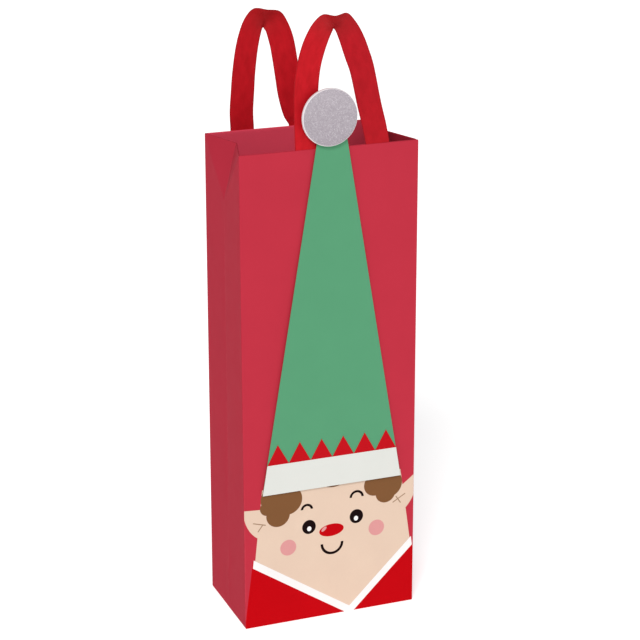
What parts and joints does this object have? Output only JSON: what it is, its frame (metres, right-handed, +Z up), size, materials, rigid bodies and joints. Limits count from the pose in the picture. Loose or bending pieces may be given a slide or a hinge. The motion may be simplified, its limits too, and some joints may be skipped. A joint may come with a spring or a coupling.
{
  "type": "wine gift bag",
  "caption": "Tall narrow paper bag for one bottle, with two ribbon loop handles, folded sides, a turned-in rim and a raised card hat on the front.",
  "frame": {"origin": "centre of the base's underside, halfway across the width and the depth of the base", "axes": "+X to the right across the front, -Y out of the front, +Z up towards the handles"},
  "size_m": [0.135, 0.0864, 0.4539],
  "materials": {
    "red_paper": "laminated, satin",
    "side_paper": "laminated, satin, the same sheet as the front",
    "grey_board": "uncoated greyboard",
    "red_ribbon": "woven satin ribbon",
    "green_card": "matt printed card",
    "bright_red_card": "matt printed card",
    "white_card": "matt printed card",
    "white_foam": "closed-cell adhesive foam",
    "glitter_card": "glitter-faced"
  },
  "bodies": {
    "bag": {"front_panel": "red_paper", "back_panel": "red_paper", "left_gusset_front": "side_paper", "left_gusset_back": "side_paper", "right_gusset_front": "side_paper", "right_gusset_back": "side_paper", "left_tuck_front": "side_paper", "left_tuck_back": "side_paper", "right_tuck_front": "side_paper", "right_tuck_back": "side_paper", "side_seam": "side_paper", "bottom_flap_left": "side_paper", "bottom_flap_right": "side_paper", "bottom_flap_back": "red_paper", "bottom_flap_front": "red_paper", "front_hem": "red_paper", "back_hem": "red_paper", "left_hem": "side_paper", "right_hem": "side_paper", "front_rim_card": "grey_board", "back_rim_card": "grey_board", "front_handle_ends": "red_ribbon", "back_handle_ends": "red_ribbon", "hat_card": "green_card", "hat_zigzag": "bright_red_card", "hat_band": "white_card", "hat_pads": "white_foam", "bobble": "glitter_card", "bobble_pad": "white_foam"},
    "front_handle": {"front_handle": "red_ribbon"},
    "back_handle": {"back_handle": "red_ribbon"},
    "base_card": {"base_card": "grey_board"}
  },
  "joints": [
    {"name": "front_handle_swing", "type": "hinge", "parent": "bag", "child": "front_handle", "pos_m": [0, -0.03772, 0.36], "axis": [1, 0, 0], "range_deg": [-17, 2]},
    {"name": "back_handle_swing", "type": "hinge", "parent": "bag", "child": "back_handle", "pos_m": [0, 0.03772, 0.36], "axis": [1, 0, 0], "range_deg": [-170, 17]},
    {"name": "base_card_lift", "type": "slide", "parent": "bag", "child": "base_card", "axis": [0, 0, 1], "range_m": [0, 0.3]}
  ]
}
